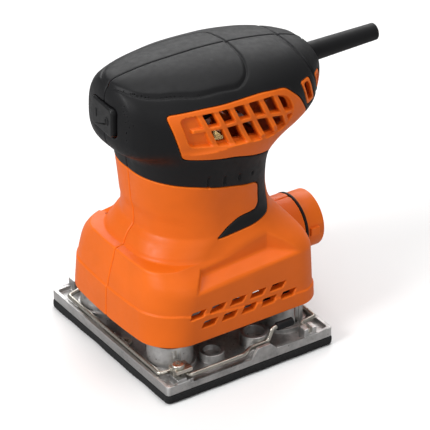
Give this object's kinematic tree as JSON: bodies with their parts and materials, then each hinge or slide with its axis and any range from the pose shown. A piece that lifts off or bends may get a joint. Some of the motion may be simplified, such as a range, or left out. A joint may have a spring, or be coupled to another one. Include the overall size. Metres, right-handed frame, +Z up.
{
  "type": "palm sander",
  "caption": "Quarter-sheet palm sander: moulded body with rubber grip, foam-faced aluminium platen, wire paper clamps, rocker switch and rear dust outlet.",
  "frame": {"origin": "centre of the foam pad's lower face, on the work surface", "axes": "+X to the front, where the switch is; +Y to the machine's left side; +Z up"},
  "size_m": [0.1674, 0.112, 0.1624],
  "materials": {
    "orange_plastic": "satin moulded",
    "grip_rubber": "soft-touch matte",
    "black_plastic": "matte",
    "cast_aluminium": "die-cast, tumbled",
    "steel": "zinc-plated",
    "lamination_steel": "stacked laminations",
    "copper": "enamelled wire and commutator bars",
    "brass": "folded sheet",
    "carbon": "graphite",
    "foam": "dense sponge rubber",
    "post_rubber": "matte",
    "yellow_plastic": "matte"
  },
  "bodies": {
    "housing": {"left_housing": "orange_plastic", "right_housing": "orange_plastic", "left_grip": "grip_rubber", "right_grip": "grip_rubber", "switch_body": "black_plastic", "cord_sleeve": "grip_rubber", "stator_core": "lamination_steel", "field_coils": "copper", "brush_holder_left": "brass", "brush_holder_right": "brass", "brush_left": "carbon", "brush_right": "carbon", "brush_spring_left": "steel", "brush_spring_right": "steel", "top_bearing": "steel", "top_bearing_cap": "grip_rubber", "lower_bearing": "steel", "bearing_plate": "black_plastic", "bearing_plate_screws": "steel", "dust_port": "orange_plastic", "dust_port_seal": "grip_rubber", "housing_screws": "steel", "cord_clamp": "black_plastic", "cord_clamp_screws": "steel", "capacitor": "yellow_plastic", "left_coil_lead": "black_plastic", "right_coil_lead": "black_plastic"},
    "rotor": {"shaft": "steel", "armature_core": "lamination_steel", "armature_windings": "copper", "commutator": "copper", "fan": "black_plastic", "counterweight": "steel"},
    "platen": {"platen": "cast_aluminium", "foam_pad": "foam", "platen_screws": "steel", "rubber_post_front_left": "post_rubber", "rubber_post_front_right": "post_rubber", "rubber_post_rear_left": "post_rubber", "rubber_post_rear_right": "post_rubber", "front_clamp_keeper": "steel", "rear_clamp_keeper": "steel", "keeper_screws": "steel", "orbit_bearing": "steel"},
    "front_clamp": {"front_clamp_wire": "steel", "front_clamp_handle": "grip_rubber"},
    "rear_clamp": {"rear_clamp_wire": "steel", "rear_clamp_handle": "grip_rubber"},
    "rocker": {"switch_rocker": "black_plastic"}
  },
  "joints": [
    {"name": "rotor_spin", "type": "hinge", "parent": "housing", "child": "rotor", "pos_m": [-0.001, 0, 0.05], "axis": [0, 0, 1], "continuous": true},
    {"name": "platen_orbit", "type": "hinge", "parent": "rotor", "child": "platen", "pos_m": [0, 0, 0.02], "axis": [0, 0, 1], "continuous": true},
    {"name": "front_clamp_lever", "type": "hinge", "parent": "platen", "child": "front_clamp", "pos_m": [0.037, 0, 0.0122], "axis": [0, -1, 0], "range_deg": [0, 3]},
    {"name": "rear_clamp_lever", "type": "hinge", "parent": "platen", "child": "rear_clamp", "pos_m": [-0.037, 0, 0.0122], "axis": [0, 1, 0], "range_deg": [0, 3]},
    {"name": "switch_rocker", "type": "hinge", "parent": "housing", "child": "rocker", "pos_m": [0.043, 0, 0.1405], "axis": [0, 0, 1], "range_deg": [0, 8]}
  ],
  "couplings": [
    {"joint": "platen_orbit", "follows": "rotor_spin", "ratio": -1}
  ]
}
